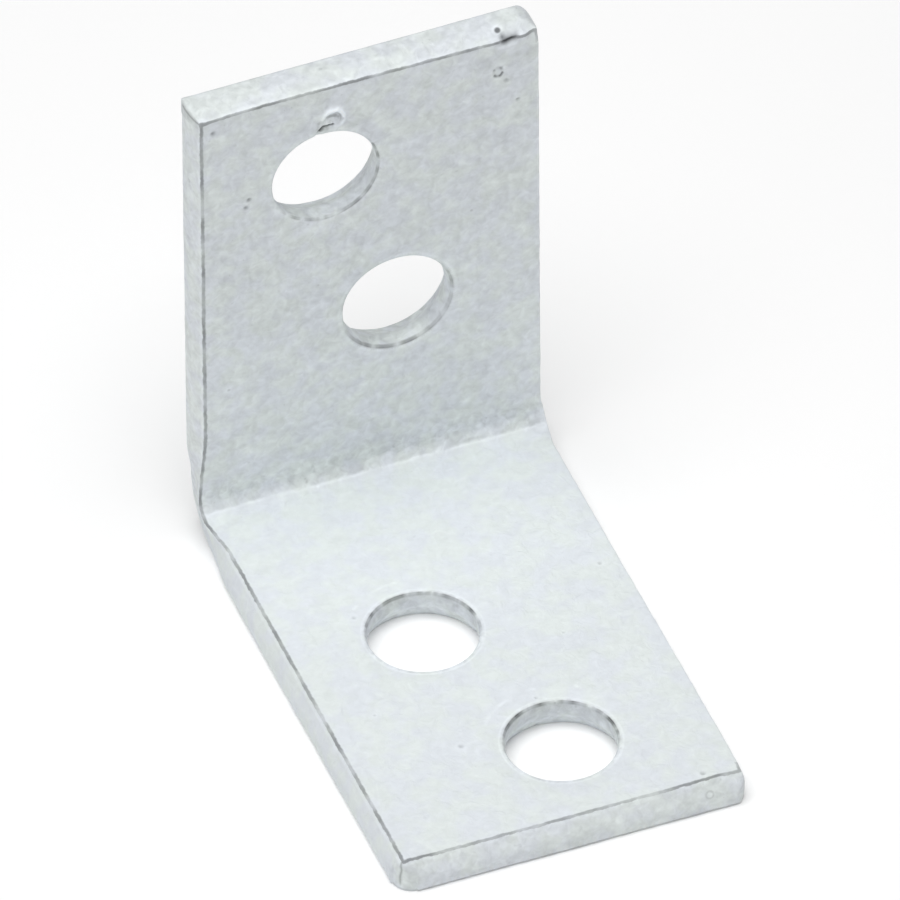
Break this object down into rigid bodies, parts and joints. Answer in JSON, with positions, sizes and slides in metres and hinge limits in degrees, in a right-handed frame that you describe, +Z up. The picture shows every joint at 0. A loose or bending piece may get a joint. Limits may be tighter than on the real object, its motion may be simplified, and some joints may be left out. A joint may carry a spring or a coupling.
{
  "type": "angle bracket",
  "caption": "Right-angle bracket folded from thick zinc-coated steel plate, with staggered round screw holes in both legs, for joining or bracing two parts at a corner.",
  "frame": {"origin": "on the floor under the middle of the bracket, at the centre of its outline seen from above", "axes": "+X along the fold, +Y from the free end of the lying leg to the back of the upright leg, +Z up along the upright leg"},
  "size_m": [0.0332, 0.0526, 0.0511],
  "materials": {
    "zinc_plate": "satin zinc coat, pale grey, faintly speckled"
  },
  "bodies": {
    "root": {"bracket": "zinc_plate"}
  },
  "joints": []
}
